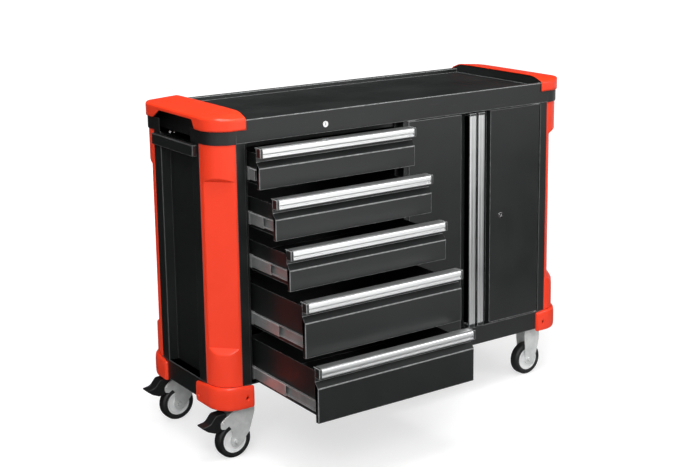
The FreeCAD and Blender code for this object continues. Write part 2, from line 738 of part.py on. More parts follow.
swivel_tops = []
pivot_x = swivel_x + 14.0 - wheel_r
pivot_z = 2.0 * wheel_r + 8.0
crown_z = base_z0 - 11.0
fork_pts = [
    (king_x + 29, crown_z), (king_x - 26, crown_z), (pivot_x + 7, pivot_z + 15), (pivot_x - 5, pivot_z + 5),
    (pivot_x - 8, pivot_z), (pivot_x - 8, pivot_z - 11), (pivot_x - 5, pivot_z - 16), (pivot_x + 5, pivot_z - 19),
    (pivot_x + 17, pivot_z - 12), (pivot_x + 24, pivot_z - 20), (swivel_x - 11, wheel_r + 28),
    (swivel_x - 17, wheel_r, 10), (swivel_x - 9, wheel_r - 17, 8), (swivel_x + 11, wheel_r - 17, 8),
    (swivel_x + 43, wheel_r + 18), (king_x + 29, crown_z - 21),
]
tread_tip = pivot_x - 62.0
pedal_pts = [
    (tread_tip, pivot_z + 1), (tread_tip, pivot_z - 3), (pivot_x - 46, pivot_z - 15), (pivot_x - 25, pivot_z - 24),
    (pivot_x - 7, pivot_z - 23), (pivot_x + 5, pivot_z - 18), (pivot_x + 11, pivot_z - 8), (pivot_x + 13, pivot_z + 8),
    (pivot_x + 11, pivot_z + 28), (pivot_x - 21, pivot_z + 26, 10), (pivot_x - 39, pivot_z + 4, 20),
]
spots = (("front", front_y), ("rear", rear_y))
race_z = crown_z + 0.2
pin_z = base_z0 - 26.0
for label, y in spots:
    race = prism(king_x, y, race_z, "z", 22.0, seat_z - race_z, boss_sides)
    pin = prism(king_x, y, pin_z, "z", 5.0, seat_z - pin_z, boss_sides)
    nut = prism(king_x, y, pin_z, "z", 9.0, 6.8, 6)
    swivel_tops.append(fuse([mounting_plate(king_x, y), race, pin, nut]))
    head = prism(king_x, y, crown_z - 8.0, "z", 27.0, 8.0, boss_sides)
    bridge = box(king_x - 26, king_x + 27, y - leg_in - leg_t, y + leg_in + leg_t, crown_z - leg_t, crown_z)
    shapes = [head, bridge] + legs(fork_pts, y)
    shapes += axle(swivel_x, y, wheel_r, axle_r, 7.5, 26.0) + axle(pivot_x, y, pivot_z, 3.0, 5.5, 23.5)
    fork = fuse(shapes).cut(rod(king_x, y, crown_z - 10, "z", 5.0 + run, 12))
    parts["swivel_fork_" + label] = fork
    tread = profile(pedal_pts, "y", y - 17.5, y + 17.5)
    parts["brake_pedal_" + label] = tread.cut(rod(pivot_x, y - 20, pivot_z, "y", 3.0 + run, 40))
parts["swivel_plates"] = Part.makeCompound(swivel_tops)

for side, x in (("left", swivel_x), ("right", fixed_x)):
    for label, y in spots:
        tyre, hub = wheel(x, y)
        parts["tyre_%s_%s" % (side, label)] = tyre
        parts["hub_%s_%s" % (side, label)] = hub

# Centre the overall box on X and Y and write one file per piece.
low_x = tread_tip
high_x = half_width + bump_out
low_y = -drawers[4][2] - rail_out - 0.6
high_y = depth + bump_out
shift = V(-(low_x + high_x) / 2.0, -(low_y + high_y) / 2.0, 0)
os.makedirs("parts", exist_ok=True)
for name in sorted(parts):
    shape = parts[name].copy()
    shape.translate(shift)
    shape.exportStep("parts/" + name + ".step")
total = Part.makeCompound([parts[name] for name in sorted(parts)])
bounds = total.BoundBox
print("pieces", len(parts))
print("shift", shift)
print("box", bounds)
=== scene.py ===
"""A wheeled tool chest: five drawers on three-part slides beside a two-door
cupboard, in black powder-coated sheet steel with red moulded corner guards.
Sizes are millimetres in the cabinet's own frame: X across from the middle, Y back
from the door faces, Z up from the floor. The right end is made first and its
outline mirrored for the left."""

import math

import bmesh
import bpy
import numpy as np
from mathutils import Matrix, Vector


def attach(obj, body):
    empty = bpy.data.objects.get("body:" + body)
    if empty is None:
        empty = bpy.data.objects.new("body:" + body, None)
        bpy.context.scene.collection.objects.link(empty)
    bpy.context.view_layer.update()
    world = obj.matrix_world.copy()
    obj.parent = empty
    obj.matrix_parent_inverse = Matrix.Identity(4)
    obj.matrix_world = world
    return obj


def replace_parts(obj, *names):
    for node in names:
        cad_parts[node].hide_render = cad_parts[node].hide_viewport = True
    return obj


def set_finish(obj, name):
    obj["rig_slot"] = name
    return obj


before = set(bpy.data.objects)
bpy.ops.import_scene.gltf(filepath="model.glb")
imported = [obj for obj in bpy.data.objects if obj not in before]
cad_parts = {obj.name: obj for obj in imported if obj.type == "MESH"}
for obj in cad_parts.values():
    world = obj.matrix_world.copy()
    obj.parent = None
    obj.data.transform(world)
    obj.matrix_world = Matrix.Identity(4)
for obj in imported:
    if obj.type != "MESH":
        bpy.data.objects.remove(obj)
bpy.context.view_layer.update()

# --- Base frame ---------------------------------------------------------------
# Channel rails and rounded corner gussets folded from 2 mm steel, welded into a
# ring and powder-coated black. The CAD's lower rail under the drawers is left out,
# as nothing of it shows, and the gusset beside it has a corner cut off.
row_shift = (18.0, -51.6, 0.0)
in_row = Vector(row_shift)
# Noise lies mostly between these two values.
grain_spread = (0.3, 0.7)


def coordinates(tree, stretch=(1.0, 1.0, 1.0)):
    """Object coordinates in metres, multiplied axis by axis by stretch."""
    place = tree.nodes.new("ShaderNodeTexCoord")
    scaled = tree.nodes.new("ShaderNodeMapping")
    scaled.inputs["Scale"].default_value = stretch
    tree.links.new(place.outputs["Object"], scaled.inputs["Vector"])
    return scaled.outputs["Vector"]


def grain(tree, size, detail=2.0, stretch=(1.0, 1.0, 1.0)):
    """Noise from 0 to 1 with lumps about size mm across, drawn out along an axis
    whose stretch is under 1."""
    noise = tree.nodes.new("ShaderNodeTexNoise")
    noise.inputs["Scale"].default_value = 1000.0 / size
    noise.inputs["Detail"].default_value = detail
    tree.links.new(coordinates(tree, stretch), noise.inputs["Vector"])
    return noise.outputs["Fac"]


def between(tree, source, low, high, to_low, to_high):
    """Number going evenly from to_low to to_high while source goes from low to high."""
    reach = tree.nodes.new("ShaderNodeMapRange")
    ends = {"From Min": low, "From Max": high, "To Min": to_low, "To Max": to_high}
    for socket, value in ends.items():
        reach.inputs[socket].default_value = value
    tree.links.new(source, reach.inputs["Value"])
    return reach.outputs["Result"]


def blended(tree, share, first, second):
    """Colour that is first where share is 0 and second where it is 1."""
    mix = tree.nodes.new("ShaderNodeMix")
    mix.data_type = "RGBA"
    tree.links.new(share, mix.inputs["Factor"])
    for socket, colour in ((mix.inputs[6], first), (mix.inputs[7], second)):
        if isinstance(colour, tuple):
            socket.default_value = (*colour, 1.0)
        else:
            tree.links.new(colour, socket)
    return mix.outputs[2]


def finish(name, colour, roughness, metallic=0.0, specular=0.5):
    """New material with a plain shader: the material, its node tree and the shader."""
    made = bpy.data.materials.new(name)
    made.use_nodes = True
    tree = made.node_tree
    skin = tree.nodes["Principled BSDF"]
    skin.inputs["Base Color"].default_value = (*colour, 1.0)
    skin.inputs["Roughness"].default_value = roughness
    skin.inputs["Metallic"].default_value = metallic
    skin.inputs["Specular IOR Level"].default_value = specular
    return made, tree, skin


def dressed(tree, skin, coat, gloss):
    """Drives the shader's colour by coat and its roughness by gloss."""
    tree.links.new(coat, skin.inputs["Base Color"])
    tree.links.new(gloss, skin.inputs["Roughness"])


def relief(tree, skin, source, height, strength):
    """Bumps of the given height in mm where source is high."""
    bump = tree.nodes.new("ShaderNodeBump")
    bump.inputs["Distance"].default_value = height / 1000.0
    bump.inputs["Strength"].default_value = strength
    tree.links.new(source, bump.inputs["Height"])
    tree.links.new(bump.outputs["Normal"], skin.inputs["Normal"])


def powder_coat(name, colour, roughness, wear_and_highlight, bare_and_highlight_colour=(0.2, 0.205, 0.205)):
    """Baked powder: fine orange peel, a cloudy gloss and, where the share after the roughness is
    above 0, a paler shade towards the last colour:
    half that share all over as a painted highlight on the folds it is used for, the full share in
    patches of rubbing."""
    made, tree, skin = finish(name, colour, roughness)
    cloud = grain(tree, 160.0)
    peel = grain(tree, 1.8, 1.0)
    thin = tuple(c * 1.35 for c in colour)
    coat = blended(tree, between(tree, cloud, *grain_spread, 0.0, 1.0), colour, thin)
    if wear_and_highlight > 0.0:
        # Painted highlight at half strength everywhere, with rubbed patches up to full strength.
        rub_and_highlight = between(tree, grain(tree, 14.0, 4.0), 0.35, 0.7, 0.5 * wear_and_highlight, wear_and_highlight)
        coat = blended(tree, rub_and_highlight, coat, bare_and_highlight_colour)
    gloss = between(tree, cloud, *grain_spread, roughness - 0.03, roughness + 0.05)
    dressed(tree, skin, coat, gloss)
    relief(tree, skin, peel, 0.03, 0.5)
    return made


black_coat = powder_coat("black_powder_coat", (0.0085, 0.0095, 0.0095), 0.36, 0.0)
# Paler coat for the rounded folds of the frame, panels, inner sheets and handle: a painted
# highlight along each fold, with patches of rubbing.
plain_folds_highlight_and_wear = powder_coat("black_coat_folds_highlight_and_rub", (0.014, 0.015, 0.015), 0.3, 0.35)


def face_width(face, edge):
    """Distance across a flat face from the middle of one of its edges, measured
    square to the edge, to the nearest of its other edges that lies there, or 1 m."""
    a, b = (v.co for v in edge.verts)
    along = (b - a).normalized()
    across = face.normal.cross(along)
    middle = (a + b) / 2.0
    best = 1.0
    for other in face.edges:
        if other is edge:
            continue
        p, q = (v.co - middle for v in other.verts)
        p_side, q_side = p.dot(along), q.dot(along)
        if p_side * q_side < 0.0:
            share = p_side / (p_side - q_side)
            best = min(best, abs(p.lerp(q, share).dot(across)))
    return best


# Gaps in metres, angles in radians, the share of a narrow face that a rounding may
# take, and the millimetres over the sheet's own up to which a face is a cut rim.
merge_gap = 2e-6
weld_gap = 0.004
same_flat = math.radians(1.0)
sharpest_flat = math.radians(30.0)
room_share = 0.45
rim_spare = 0.4


def folded_sheet(node, sheet, bend, body, slot_name, flat_finish, fold_finish, arris=0.3):
    """The node's own shape with its folds rounded: loose triangles are merged and
    joined into flats, then each edge of more than 30 degrees is rounded, to bend mm
    outside a fold, bend less the sheet inside it, and arris mm on a cut rim. The
    rounding ends just short of a weld, where more than two faces meet."""
    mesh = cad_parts[node].data.copy()
    if "custom_normal" in mesh.attributes:
        mesh.attributes.remove(mesh.attributes["custom_normal"])
    work = bmesh.new()
    work.from_mesh(mesh)
    bmesh.ops.remove_doubles(work, verts=work.verts, dist=merge_gap)
    bmesh.ops.dissolve_limit(work, angle_limit=same_flat, verts=work.verts, edges=work.edges)
    weights = work.edges.layers.float.new("bevel_weight_edge")
    narrow = (sheet + rim_spare) / 1000.0
    for edge in work.edges:
        if len(edge.link_faces) != 2 or edge.calc_face_angle(0.0) < sharpest_flat:
            continue
        room = min(face_width(face, edge) for face in edge.link_faces)
        widest = room * 1000.0 * room_share
        if room < narrow:
            rounding = arris
        elif edge.is_convex:
            rounding = min(bend, widest)
        else:
            rounding = min(max(bend - sheet, arris), widest)
        edge[weights] = rounding / bend
    welds = [
        vert for vert in work.verts
        if any(len(edge.link_faces) > 2 for edge in vert.link_edges)
    ]
    for vert in welds:
        for edge in [edge for edge in vert.link_edges if edge[weights] > 0.0]:
            length = edge.calc_length()
            if length > 3.0 * weld_gap:
                split = bmesh.utils.edge_split(edge, vert, weld_gap / length)[1]
                edge = next(part for part in split.link_edges if vert in part.verts)
            edge[weights] = 0.0
    work.to_mesh(mesh)
    work.free()
    mesh.name = node + "_shape"
    mesh.materials.clear()
    mesh.materials.append(flat_finish)
    mesh.materials.append(fold_finish)
    mesh.shade_smooth()
    piece = bpy.data.objects.new(node + "_finished", mesh)
    bpy.context.scene.collection.objects.link(piece)
    rounded = piece.modifiers.new("folds", "BEVEL")
    rounded.limit_method = "WEIGHT"
    rounded.width = bend / 1000.0
    rounded.segments = 2
    # The rounded faces take the second finish; where that is paler than the first, it is a painted
    # highlight along the folds and rims.
    rounded.material = 1
    rounded.use_clamp_overlap = False
    rounded.harden_normals = True
    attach(piece, body)
    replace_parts(piece, node)
    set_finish(piece, slot_name)
    return piece


def cut_corner(verts, at_x, before_y, cut):
    """Cuts a corner off by moving the vertices at at_x, and less than before_y
    back, to the point cut, each at its own height."""
    for vert in verts:
        x, y, z = vert.co * 1000.0 - in_row
        if abs(x - at_x) < 0.1 and y < before_y:
            vert.co = (Vector((*cut, z)) + in_row) / 1000.0


base = folded_sheet("base_frame", 2.0, 2.5, "cabinet", "black_steel", black_coat, plain_folds_highlight_and_wear)
bay_left, bay_right = -480.0, 0.0
rail_end = -532.0
rail_front, rail_back = 59.0, 81.0
rail_bottom, rail_top = 159.0, 204.0
gusset_flange = 162.5
trim = bmesh.new()
trim.from_mesh(base.data)
lower_rail = []
for face in trim.faces:
    x, y, z = face.calc_center_median() * 1000.0 - in_row
    along_bay = bay_left < x < bay_right and rail_bottom < z < rail_top
    at_post = abs(x - rail_end) < 0.1 and gusset_flange < z < rail_top
    if rail_front < y < rail_back and (along_bay or at_post):
        lower_rail.append(face)
bmesh.ops.delete(trim, geom=lower_rail, context="FACES")
open_edges = [edge for edge in trim.edges if edge.is_valid and edge.is_boundary]
bmesh.ops.holes_fill(trim, edges=open_edges, sides=0)
cut_corner(trim.verts, at_x=-490.0, before_y=2.0, cut=(-511.0, 30.5))
trim.to_mesh(base.data)
trim.free()

# --- Side panels --------------------------------------------------------------
# One sheet of 1.5 mm steel per side: a front stile, a post with a chamfered
# corner that the red column is nested on, a recessed field, and the same behind.
for side in ("left", "right"):
    folded_sheet("side_panel_" + side, 1.5, 2.0, "cabinet", "black_steel", black_coat, plain_folds_highlight_and_wear)

# --- Back, floor, divider, rails and shelf ------------------------------------
# The flat back, the pressed floor, the hollow wall between drawers and cupboard,
# two angles under the worktop, the channels that carry the slides and the shelf,
# spot-welded between the posts. Same coat as the outside.
inner_sheets = (
    "back_panel", "cabinet_floor", "centre_divider", "top_rails", "drawer_bay_liners",
    "cupboard_shelf",
)
for node in inner_sheets:
    folded_sheet(node, 1.5, 2.0, "cabinet", "black_steel", black_coat, plain_folds_highlight_and_wear)

# --- Worktop ------------------------------------------------------------------
# A pressed tray in 1.5 mm steel: a folded apron in front with the key hole of
# the drawer lock, rolled rims front and back, and a floor sunk between them.
# The floor is worn dull by tools.


def tray_coat(name, colour, roughness):
    """Powder coat with a scatter of fine straight scuffs: thin stretched noise
    kept where it peaks, laid in two directions."""
    made, tree, skin = finish(name, colour, roughness)
    cloud = grain(tree, 130.0, 3.0)
    thin = tuple(c * 1.4 for c in colour)
    coat = blended(tree, between(tree, cloud, *grain_spread, 0.0, 1.0), colour, thin)
    for stretch in ((0.06, 1.0, 1.0), (1.0, 0.08, 1.0)):
        scuff = between(tree, grain(tree, 5.0, 1.0, stretch), 0.68, 0.76, 0.0, 0.1)
        coat = blended(tree, scuff, coat, (0.1, 0.1, 0.1))
    gloss = between(tree, cloud, *grain_spread, roughness - 0.05, roughness + 0.07)
    dressed(tree, skin, coat, gloss)
    relief(tree, skin, grain(tree, 1.8, 1.0), 0.03, 0.5)
    return made


# Paler coat for the rounded folds of the worktop, drawers and doors: a stronger painted highlight
# along each fold, with patches of rubbing.
front_folds_highlight_and_wear = powder_coat(
    "black_coat_front_folds_highlight_and_rub", (0.03, 0.031, 0.031), 0.26, 0.7, (0.34, 0.35, 0.35))
worktop_coat = tray_coat("worktop_powder_coat", (0.0085, 0.0095, 0.0095), 0.45)
folded_sheet("worktop", 1.5, 2.2, "cabinet", "black_steel", worktop_coat, front_folds_highlight_and_wear)

# --- Corner bands -------------------------------------------------------------
# Black moulded bands round the corners between the end caps and the columns,
# level with the apron, clipped behind the posts.


def moulded(name, colour, roughness, texture, depth, cloudiness):
    """Injection-moulded plastic: spark texture of texture mm, depth mm deep, and a
    slow change of shade where the melt flowed."""
    made, tree, skin = finish(name, colour, roughness)
    flow = grain(tree, 90.0, 2.0)
    darker = tuple(c * (1.0 - cloudiness) for c in colour)
    coat = blended(tree, between(tree, flow, *grain_spread, 0.0, 1.0), darker, colour)
    gloss = between(tree, flow, *grain_spread, roughness - 0.04, roughness + 0.04)
    dressed(tree, skin, coat, gloss)
    relief(tree, skin, grain(tree, texture, 2.0), depth, 0.5)
    return made


black_plastic = moulded("black_moulded_plastic", (0.009, 0.0095, 0.01), 0.4, 0.9, 0.03, 0.2)
# A paler shade of the same plastic for the rounded edges of the bands and pedals, a painted
# highlight.
plastic_edge_painted_highlight = moulded(
    "black_moulded_plastic_edge_highlight", (0.03, 0.031, 0.032), 0.34, 0.9, 0.02, 0.3)
folded_sheet(
    "corner_bands", 3.0, 1.2, "cabinet", "black_plastic", black_plastic, plastic_edge_painted_highlight, 0.8)

# --- Corner columns -----------------------------------------------------------
# Red moulded skins, 3 mm thick, nested on the chamfered posts. Top and bottom are
# quarter rounds of 65 mm; the long middle is cut back to a flat across the
# corner, with slanting ledges where the round begins again.
half_width = 628.0
depth = 427.0
corner_round = 65.0
corner_x = half_width - corner_round
red_plastic = moulded("red_moulded_plastic", (0.95, 0.047, 0.011), 0.33, 0.7, 0.02, 0.04)


def to_row(points):
    """Cabinet millimetres to metres in the shared frame: shifted 18 right and 51.6
    forward, then divided by 1000."""
    return (points + np.array(row_shift)) / 1000.0


def new_piece(name, grids, materials, body, slot_name, ring=False, ends=False, turned=True):
    """One object from surface grids of shape (rows, columns, 3) in cabinet
    millimetres. Each cell is a quad; ring joins the last column to the first and
    ends closes the first and last row with one face each. Points nearer than a
    hundredth of a millimetre are merged, and turned points the faces outwards."""
    points = []
    faces = []
    start = 0
    for grid in grids:
        rows, columns = grid.shape[:2]
        index = start + np.arange(rows * columns).reshape(rows, columns)
        if ends:
            faces.append(index[0].tolist())
            faces.append(index[-1, ::-1].tolist())
        if ring:
            index = np.concatenate([index, index[:, :1]], axis=1)
        quads = np.stack(
            [index[:-1, :-1], index[:-1, 1:], index[1:, 1:], index[1:, :-1]], axis=-1)
        faces.extend(quads.reshape(-1, 4).tolist())
        points.append(to_row(grid.reshape(-1, 3)))
        start += rows * columns
    mesh = bpy.data.meshes.new(name)
    mesh.from_pydata(np.concatenate(points).tolist(), [], faces)
    work = bmesh.new()
    work.from_mesh(mesh)
    bmesh.ops.remove_doubles(work, verts=work.verts, dist=1e-5)
    if turned:
        bmesh.ops.recalc_face_normals(work, faces=work.faces)
    work.to_mesh(mesh)
    work.free()
    for material in materials:
        mesh.materials.append(material)
    mesh.shade_smooth()
    mesh.set_sharp_from_angle(angle=math.radians(32.0))
    piece = bpy.data.objects.new(name, mesh)
    bpy.context.scene.collection.objects.link(piece)
    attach(piece, body)
    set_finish(piece, slot_name)
    return piece


def rounded(piece, width, segments=2, angle=35.0):
    """Rounds every edge sharper than angle degrees, width mm to each side."""
    arris = piece.modifiers.new("arris", "BEVEL")
    arris.limit_method = "ANGLE"
    arris.angle_limit = math.radians(angle)
    arris.width = width / 1000.0
    arris.segments = segments
    arris.harden_normals = True
    return piece


def lower_of(a, b, blend):
    """The lower of two heights, with the crease between them rounded over blend."""
    return (a + b - np.sqrt((a - b) ** 2 + blend ** 2)) / 2.0


def four_corners(front, rear):
    """Four grids from two that stand at the front right: front and its mirror image
    on the left, then rear mirrored to the back, and that one's image on the left."""
    across = np.array([-1.0, 1.0, 1.0])
    behind = rear * np.array([1.0, -1.0, 1.0]) + np.array([0.0, depth, 0.0])
    return [front, front * across, behind, behind * across]


# Heights of the ends and of the ledges, how much farther out the upper ledge gets
# with height, and how far the flat is from the middle of the round.
column_bottom, column_top = 219.0, 896.5
low_ledge, high_ledge = 327.0, 794.0
high_ledge_slope = 1.4
flat_reach = 48.7
column_z = np.unique(np.concatenate([
    [column_bottom, column_bottom + 2.0, column_top, column_top - 2.0],
    np.linspace(240.0, 312.0, 5), np.linspace(314.0, 342.0, 29), np.linspace(400.0, 740.0, 7),
    np.linspace(788.0, 814.0, 27), np.linspace(830.0, 880.0, 4),
]))
turn = np.radians(np.linspace(0.0, 90.0, 61))
flat_at = flat_reach + np.maximum(0.0, low_ledge - column_z)
flat_at = flat_at + high_ledge_slope * np.maximum(0.0, column_z - high_ledge)
reach = lower_of(corner_round, flat_at[:, None] / np.cos(turn - np.pi / 4.0), 1.6)
arcs = (corner_x + reach * np.sin(turn), corner_round - reach * np.cos(turn))
# The skin's outline starts at the first tab, follows the arc and comes back
# through the others, 3 mm inside.
tabs = np.array([
    [559.6, 0.0], [628.0, 80.0], [625.0, 80.0], [625.0, 62.4], [565.6, 3.0], [559.6, 3.0],
])
rows = len(column_z)
plan = [
    np.concatenate([np.full((rows, 1), tab[0]), arc, np.tile(tab[1:], (rows, 1))], axis=1)
    for tab, arc in zip(tabs.T, arcs)
]
column = np.stack([*plan, np.broadcast_to(column_z[:, None], plan[0].shape)], axis=-1)
columns = new_piece(
    "corner_columns", four_corners(column, column), [red_plastic], "cabinet", "red_plastic",
    ring=True, ends=True)
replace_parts(rounded(columns, 1.0), "corner_posts")

# --- Corner bumpers -----------------------------------------------------------
# Fat red mouldings round the bottom corners, 9 mm proud of the base frame and
# rounded over on all sides, each held by a sunk screw in either leg.
bumper_out = 9.0
bumper_bottom, bumper_top = 152.0, 218.5
bumper_first = 524.8
front_end = corner_x - 1.0
side_start = corner_round + 1.0
front_fall, side_fall = 4.0, 9.0
end_drop, end_rise = 4.0, 5.0


def bumper(leg):
    """Section bulging out 9 mm as a fourth-power oval between bottom and top,
    carried round the corner: along the front, round 90 degrees, and along the
    side to leg mm from the front. Towards both ends the bulge dies off in a
    quarter round, and the top falls by a few millimetres along the legs."""
    stations = 25
    front = np.stack([np.linspace(bumper_first, front_end, stations), np.zeros(stations)], axis=-1)
    angle = np.radians(np.linspace(0.0, 90.0, 31))
    outward_arc = np.stack([np.sin(angle), -np.cos(angle)], axis=-1)
    arc = np.array([corner_x, corner_round]) + corner_round * outward_arc
    side_y = np.linspace(side_start, leg, stations)
    back = np.stack([np.full(stations, half_width), side_y], axis=-1)
    ease = np.array([0.0, 0.3, 0.9, 1.8, 3.0, 4.5, 6.5, bumper_out])
    front[: len(ease), 0] = bumper_first + ease
    back[-len(ease):, 1] = leg - ease[::-1]
    path = np.concatenate([front, arc, back])
    outward = np.concatenate([
        np.tile([0.0, -1.0], (stations, 1)), outward_arc, np.tile([1.0, 0.0], (stations, 1)),
    ])
    on_side = path[:, 1] > side_start
    from_end = np.where(on_side, leg - path[:, 1], path[:, 0] - bumper_first)
    near = np.clip(from_end / bumper_out, 0.0, 1.0)
    fullness = np.sqrt(1.0 - (1.0 - near) ** 2)
    along_side = side_fall * (path[:, 1] - side_start) / (leg - side_start)
    along_front = front_fall * (front_end - path[:, 0]) / (front_end - bumper_first)
    fall = np.clip(np.where(on_side, along_side, along_front), 0.0, side_fall)
    top = bumper_top - fall - end_drop * (1.0 - fullness)
    bottom = bumper_bottom + end_rise * (1.0 - fullness)
    slant = np.linspace(-np.pi / 2.0, np.pi / 2.0, 33)
    rise = np.sign(np.sin(slant)) * np.abs(np.sin(slant)) ** 0.5
    bulge = np.abs(np.cos(slant)) ** 0.5
    bulge[[0, -1]] = 0.0
    share = (1.0 + np.concatenate([rise, rise[1:-1][::-1]])) / 2.0
    height = bottom[:, None] + (top - bottom)[:, None] * share
    proud = np.concatenate([bulge, np.zeros(len(rise) - 2)]) * bumper_out
    offset = fullness[:, None] * proud[None, :]
    place = path[:, None, :] + outward[:, None, :] * offset[:, :, None]
    return np.concatenate([place, height[:, :, None]], axis=-1)


def bored(piece, holes, radius):
    """Cuts round holes of radius mm, each given by the middle of its bottom and the
    direction out of it. The cuts are applied and the cutters removed."""
    angle = np.linspace(0.0, 2.0 * np.pi, 24, endpoint=False)[:, None]
    up = np.array([0.0, 0.0, 1.0])
    depths = np.array([1.0, 20.0])[:, None, None]
    for number, (centre, out) in enumerate(holes):
        out = np.array(out)
        side = np.array([out[1], -out[0], 0.0])
        rim = radius * (np.cos(angle) * side + np.sin(angle) * up)
        grid = np.array(centre) + rim[None] + out * depths
        drill = new_piece(
            "drill_%d" % number, [grid], [], "cabinet", piece["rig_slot"], ring=True, ends=True)
        cut = piece.modifiers.new("hole", "BOOLEAN")
        cut.object = drill
        cut.solver = "EXACT"
        bpy.context.view_layer.update()
        built = piece.evaluated_get(bpy.context.evaluated_depsgraph_get())
        shape = bpy.data.meshes.new_from_object(built)
        piece.modifiers.remove(cut)
        piece.data = shape
        bpy.data.objects.remove(drill)
    return piece


front_leg, rear_leg = 136.0, 110.0
bumpers = new_piece(
    "corner_bumper_mouldings", four_corners(bumper(front_leg), bumper(rear_leg)), [red_plastic],
    "cabinet", "red_plastic", ring=True)
across_screw = (550.0, 182.0)
side_screw_z = 175.0
sinks = []
for sign in (-1.0, 1.0):
    x, z = sign * across_screw[0], across_screw[1]
    sinks.append(((x, 0.0, z), (0.0, -1.0, 0.0)))
    sinks.append(((x, depth, z), (0.0, 1.0, 0.0)))
    sinks.append(((sign * half_width, 113.0, side_screw_z), (sign, 0.0, 0.0)))
    sinks.append(((sign * half_width, depth - 55.0, side_screw_z), (sign, 0.0, 0.0)))
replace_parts(bored(bumpers, sinks, 4.8), "corner_bumpers")

# --- End caps -----------------------------------------------------------------
# Red moulded saddles over both ends of the worktop, 3 mm thick: a band round the
# corner, a top that slopes up from front and back to a flat ridge, and an arch
# cut in the side for the hand.
cap_bottom = 933.5
cap_inner_x = 530.0
cap_out = 7.0
cap_edge = 6.0
cap_rim, cap_slope = 964.5, 0.423
cap_ridge, cap_tilt = 981.0, 0.1143
arch_top = 958.5
# The arch's two sloping ends: a point of each (back, up) and its steepness.
arch_front, front_climb = (88.0, 930.0), 28.5 / 16.0
arch_rear, rear_climb = (330.0, 938.0), 20.5 / 32.0


def cap_height(x, y):
    """Top of the cap: the lowest of a slope up from the front, a slope up from
    the back and a plane falling slightly to the side, creases rounded over."""
    fore = cap_rim + cap_slope * (y + cap_out)
    aft = cap_rim + cap_slope * (depth + cap_out - y)
    level = cap_ridge - cap_tilt * (x - cap_inner_x)
    return lower_of(lower_of(fore, aft, 1.0), level, 5.0)


def cap_arch(x, y):
    """Bottom edge of the band: level, but raised along the side by an arch whose
    ends slope, steep in front and long behind, with eased corners."""
    fore = arch_front[1] + (y - arch_front[0]) * front_climb
    aft = arch_rear[1] + (arch_rear[0] - y) * rear_climb
    opening = lower_of(lower_of(fore, aft, 1.0), arch_top, 3.0)
    opening = np.where(x > half_width, opening, 0.0)
    return -lower_of(-opening, -cap_bottom, 2.0)


straight = np.linspace(0.0, corner_x - cap_inner_x, 9)[:-1]
swing = np.radians(np.linspace(0.0, 90.0, 37))
# Stations along the side, closer together where the arch's ends slope.
run = np.unique(np.concatenate([
    np.linspace(65.0, 86.0, 8), np.linspace(86.0, 108.0, 23), np.linspace(108.0, 296.0, 30),
    np.linspace(296.0, 336.0, 30), np.linspace(336.0, 362.0, 8),
]))[1:-1]
round_out = corner_round + cap_out
plan_x = np.concatenate([
    cap_inner_x + straight, corner_x + round_out * np.sin(swing),
    np.full(len(run), half_width + cap_out), corner_x + round_out * np.cos(swing),
    (cap_inner_x + straight)[::-1],
])
plan_y = np.concatenate([
    np.full(len(straight), -cap_out), corner_round - round_out * np.cos(swing), run,
    depth - corner_round + round_out * np.sin(swing), np.full(len(straight), depth + cap_out),
])
level = np.zeros(len(straight))
out_x = np.concatenate([level, np.sin(swing), np.ones(len(run)), np.cos(swing), level])
out_y = np.concatenate([
    level - 1.0, -np.cos(swing), np.zeros(len(run)), np.sin(swing), level + 1.0])
gone = np.concatenate([[0.0], np.cumsum(np.hypot(np.diff(plan_x), np.diff(plan_y)))])
corner_end = corner_x - cap_inner_x + round_out * np.pi / 2.0
inner_y = np.interp(
    gone, [0.0, corner_end, gone[-1] - corner_end, gone[-1]],
    [-cap_out, corner_round, depth - corner_round, depth + cap_out])
lift = np.radians(np.linspace(0.0, 90.0, 9))
bend_x = plan_x[:, None] - out_x[:, None] * cap_edge * (1.0 - np.cos(lift))
bend_x = np.maximum(bend_x, cap_inner_x)
bend_y = plan_y[:, None] - out_y[:, None] * cap_edge * (1.0 - np.cos(lift))
bend_z = cap_height(bend_x, bend_y) - cap_edge * (1.0 - np.sin(lift))
low_z = cap_arch(plan_x, plan_y)
climb = np.linspace(0.0, 1.0, 6)[:-1]
wall_z = low_z[:, None] + (bend_z[:, :1] - low_z[:, None]) * climb
wall_x = np.broadcast_to(plan_x[:, None], wall_z.shape)
wall_y = np.broadcast_to(plan_y[:, None], wall_z.shape)
inward = np.linspace(0.0, 1.0, 16)[1:]
start_y = np.clip(inner_y, bend_y[:, -1].min(), bend_y[:, -1].max())
top_x = bend_x[:, -1:] + (cap_inner_x - bend_x[:, -1:]) * inward
top_y = bend_y[:, -1:] + (start_y[:, None] - bend_y[:, -1:]) * inward
top_z = cap_height(top_x, top_y)
zones = ((wall_x, bend_x, top_x), (wall_y, bend_y, top_y), (wall_z, bend_z, top_z))
cap = np.stack([np.concatenate(zone, axis=1) for zone in zones], axis=-1)
cap_wall = 0.003
for side, mirror in (("right", 1.0), ("left", -1.0)):
    grid = cap * np.array([mirror, 1.0, 1.0])
    if mirror > 0.0:
        grid = grid[::-1]
    saddle = new_piece(
        "end_cap_" + side, [grid], [red_plastic], "cabinet", "red_plastic", turned=False)
    wall = saddle.modifiers.new("wall", "SOLIDIFY")
    wall.thickness = cap_wall
    wall.offset = -1.0
    wall.use_even_offset = False
    if side == "right":
        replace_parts(saddle, "end_caps")

# --- Screws -------------------------------------------------------------------
# Pan-head screws with a cross recess: a dark one sunk in each leg of the bumpers, its head painted
# dark as the shade in its hole, and a larger and a smaller bright one in the top fold above the
# handle.


